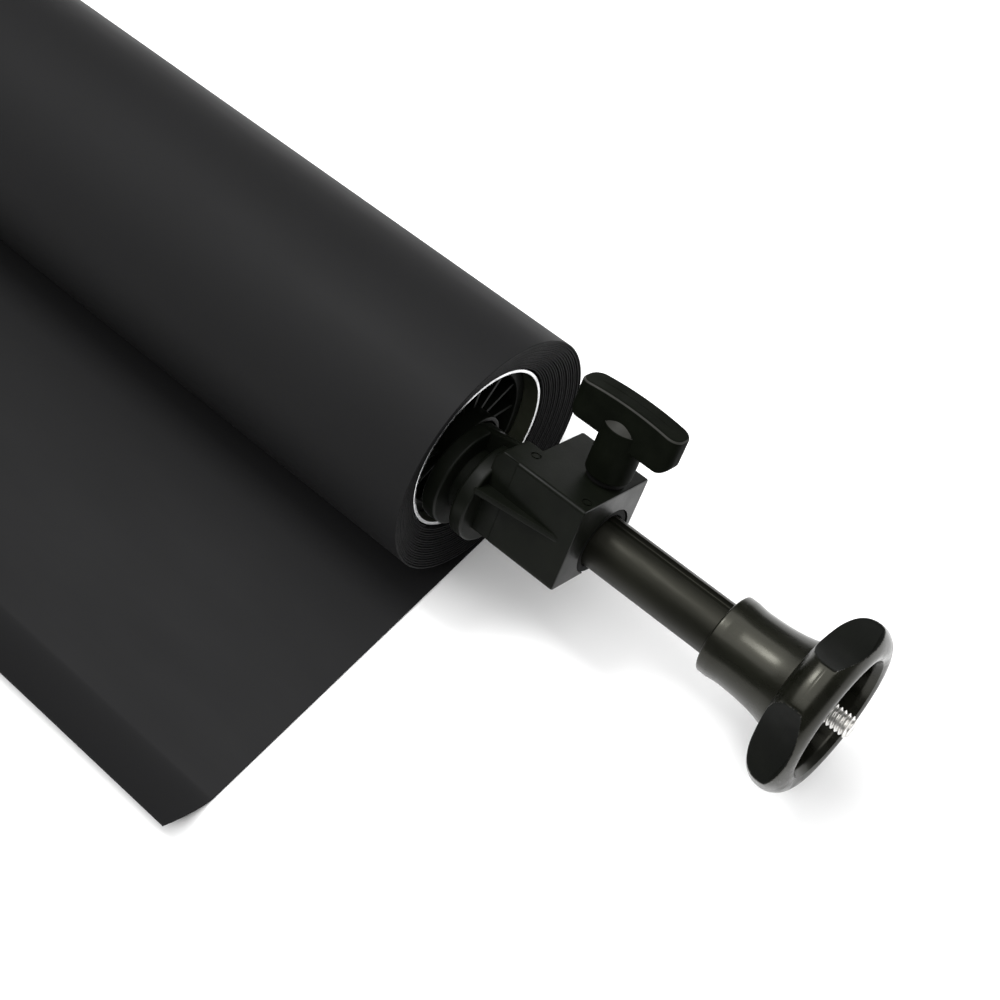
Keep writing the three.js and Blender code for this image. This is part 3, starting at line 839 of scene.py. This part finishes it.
def in_scoop(point):
    tolerance = 0.3
    if not SCALLOP_START < point.x < SCOOP_END:
        return False
    limit = scallop_limit(math.atan2(point.z, point.y), point.x)
    return abs(math.hypot(point.y, point.z) - limit) < tolerance


def hand_wheel():
    """Sleeve that flares into a fat scalloped rim, with a fine parting line round the middle of the rim."""
    blend_width = 0.16  # softness of the scallops' edges
    parting_x, parting_width, parting_depth = 118.6, 0.14, 0.05
    rim_inner, recess_edge = 13, RECESS_R + 0.8  # the scallops leave the hub and the recess as they are
    lip_end = 90.2
    sleeve = spline([
        (lip_end, SLEEVE_LIP_R), (92.5, 11.6), (95, 11.5), (101, 11.8), (106, 12.5), (110.6, 13.7),
    ], 6)
    rim = spline([
        (111.2, 16), (111.5, 19.2), (112.2, 21.6), (113.8, 24), (116, 25.5), (118.6, 26),
        (121, 25.6), (123.2, 24.2), (124.6, 22.1), (125, 20.2), (124.5, 18.5),
    ], 5)
    floor = [
        (122.6, RECESS_R), (WHEEL_FLOOR + 0.8, 16.95), (WHEEL_FLOOR, 16.2), (WHEEL_FLOOR, NUT_POCKET_R),
        (NUT_POCKET_START, NUT_POCKET_R), (NUT_POCKET_START, STUD_HOLE_R), (WHEEL_WEB_START, STUD_HOLE_R),
        (WHEEL_WEB_START, SLEEVE_BORE_R),
    ]
    lip = rounded([
        (SLEEVE_START, SLEEVE_BORE_R, 0), (SLEEVE_START, SLEEVE_LIP_R, 0.7), (lip_end, SLEEVE_LIP_R, 0),
    ], 4, loop=False)
    profile = divided(lip + sleeve[1:] + rim + floor, 0.45)

    def reshape(x, r, angle):
        if r < rim_inner or x < SCALLOP_START:
            return r
        limit = scallop_limit(angle, x)
        if r > recess_edge or x < WHEEL_FLOOR:
            lower = min(r, limit)
            r = lower - blend_width * math.log1p(math.exp(-abs(r - limit) / blend_width))
            line = max(0.0, 1 - abs(x - parting_x) / parting_width)
            r -= parting_depth * line
        return r

    return lathe(profile, WHEEL, reshape)


def mount_stud():
    """Threaded stud: plain inside the wheel, a real helix where it shows."""
    depth, tip_chamfer = 0.66, 0.75
    steps_per_turn = 20
    thread_start = WHEEL_FLOOR - 0.4
    thread_length = STUD_END - thread_start
    profile = [(STUD_START, 0.0), (STUD_START, STUD_R - 0.5), (STUD_START + 0.5, STUD_R)]
    count = math.ceil(thread_length / STUD_PITCH * steps_per_turn)
    profile += [(thread_start - 0.6, STUD_R)]
    profile += [(thread_start + thread_length * k / count, STUD_R) for k in range(count + 1)]
    profile += [(STUD_END, 0.0)]

    def reshape(x, r, angle):
        if x < thread_start or r < STUD_R:
            return r
        phase = (x / STUD_PITCH - angle / (2 * math.pi)) % 1
        groove = 0.5 - 0.5 * math.cos(2 * math.pi * phase)
        chamfer = STUD_R - max(0.0, tip_chamfer - (STUD_END - x))
        return min(STUD_R - depth * groove**0.8, chamfer)

    return lathe(profile, THREAD, reshape)


# ---- the pieces ----

roll_place = metres()
place(core_tube(), "core_tube_shape", "core_tube", roll_place, accent=CORE_INSIDE_SHADE, where=inside_core)
sheet_mesh, sheet_length = backdrop_sheet()
sheet = place(sheet_mesh, "backdrop_sheet_shape", "backdrop_sheet", roll_place, smooth=50)

both_ends(core_plug(), "core_plug", tilt=0.0)
both_ends(clamp_block(), "clamp_block", accent=END_FACE, where=on_end_face)
both_ends(axle_bush(), "axle_bush", look=LOOKS["soft_black"])
both_ends(standing(hex_nut(CLAMP_NUT_BOTTOM, CLAMP_NUT_TOP, CLAMP_NUT_FLATS, KNOB_STUD_R + GAP)), "clamp_nut")
both_ends(clamp_pad(), "clamp_pad")
both_ends(standing(ring(SPACER_BOTTOM, SPACER_TOP, KNOB_STUD_R + LOOSE, SPACER_R, 0.3)), "knob_spacer")
both_ends(standing(rod(KNOB_STUD_TIP, KNOB_STUD_TOP, KNOB_STUD_R, 0.3)), "knob_stud")
both_ends(knob_handle(), "knob_handle", look=KNOB, accent=LEDGE_HIGHLIGHT, where=on_highlit_edge)
both_ends(axle_rod(), "axle_rod")
both_ends(ring(CLIP_START, CLIP_END, CLIP_INNER_R, CLIP_OUTER_R), "axle_clip")
both_ends(ring(INSERT_START, AXLE_END, STUD_HOLE_R, INSERT_R), "axle_insert")
both_ends(ring(THRUST_START, THRUST_END, STUD_HOLE_R, THRUST_R, 0.25), "thrust_washer")
both_ends(hand_wheel(), "hand_wheel", accent=SCOOP, where=in_scoop)
both_ends(mount_stud(), "mount_stud", smooth=70)
both_ends(hex_nut(STUD_NUT_START, STUD_NUT_END, STUD_NUT_FLATS, STUD_HOLE_R), "stud_nut")
both_ends(hex_nut(LOCK_NUT_START, LOCK_NUT_END, LOCK_NUT_FLATS, STUD_HOLE_R), "lock_nut")


# ---- floor, light and camera ----

def floor():
    size = 6.0
    corners = [(-size, -size, 0), (size, -size, 0), (size, size, 0), (-size, size, 0)]
    mesh = bpy.data.meshes.new("floor")
    mesh.from_pydata(corners, [], [(0, 1, 2, 3)])
    obj = bpy.data.objects.new("floor", mesh)
    obj.location.z = -0.0002  # just under the sheet
    bpy.context.scene.collection.objects.link(obj)
    surface = Surface("floor_pale", (0.97, 0.97, 0.97), 0.8, specular=0.1)
    mesh.materials.append(surface.material)


def area_light(name, location, target, size, power):
    light = bpy.data.lights.new(name, "AREA")
    light.shape = "RECTANGLE"
    light.size, light.size_y = size
    light.energy = power
    obj = bpy.data.objects.new(name, light)
    obj.location = location
    obj.rotation_mode = "QUATERNION"
    obj.rotation_quaternion = (Vector(target) - Vector(location)).to_track_quat("-Z", "Y")
    bpy.context.scene.collection.objects.link(obj)


def camera():
    azimuth, elevation, roll = map(math.radians, (45.308, 58.53, 3.446))
    data = bpy.data.cameras.new("camera")
    data.lens = 64.22
    data.sensor_width = 36
    data.clip_start = 0.02
    data.clip_end = 50
    obj = bpy.data.objects.new("camera", data)
    obj.location = (0.87202, -0.14226, 0.45588)
    ahead = Vector((
        -math.sin(azimuth) * math.cos(elevation),
        math.cos(azimuth) * math.cos(elevation),
        -math.sin(elevation),
    ))
    obj.rotation_mode = "QUATERNION"
    obj.rotation_quaternion = Matrix.Rotation(roll, 4, ahead).to_quaternion() @ ahead.to_track_quat("-Z", "Y")
    bpy.context.scene.collection.objects.link(obj)
    bpy.context.scene.camera = obj


def world(seen, around):
    """A white studio to the camera, with little light of its own, so that black pieces stay black."""
    made = bpy.data.worlds.new("studio")
    made.use_nodes = True
    tree = made.node_tree
    lit = tree.nodes["Background"]
    lit.inputs["Strength"].default_value = around
    lit.inputs["Color"].default_value = (1, 1, 1, 1)
    white = tree.nodes.new("ShaderNodeBackground")
    white.inputs["Strength"].default_value = seen
    path = tree.nodes.new("ShaderNodeLightPath")
    mix = tree.nodes.new("ShaderNodeMixShader")
    tree.links.new(path.outputs["Is Camera Ray"], mix.inputs["Fac"])
    tree.links.new(lit.outputs["Background"], mix.inputs[1])
    tree.links.new(white.outputs["Background"], mix.inputs[2])
    tree.links.new(mix.outputs["Shader"], tree.nodes["World Output"].inputs["Surface"])
    bpy.context.scene.world = made


floor()
camera()
world(seen=1.0, around=0.2)
area_light("softbox", location=(0.3, 0, 2.6), target=(0.3, 0, 0), size=(4, 4), power=165)
area_light("key", location=(0.05, 0.0, 1.6), target=(0.6, 0, 0), size=(0.45, 0.45), power=15)
bpy.context.scene.view_settings.view_transform = "Standard"
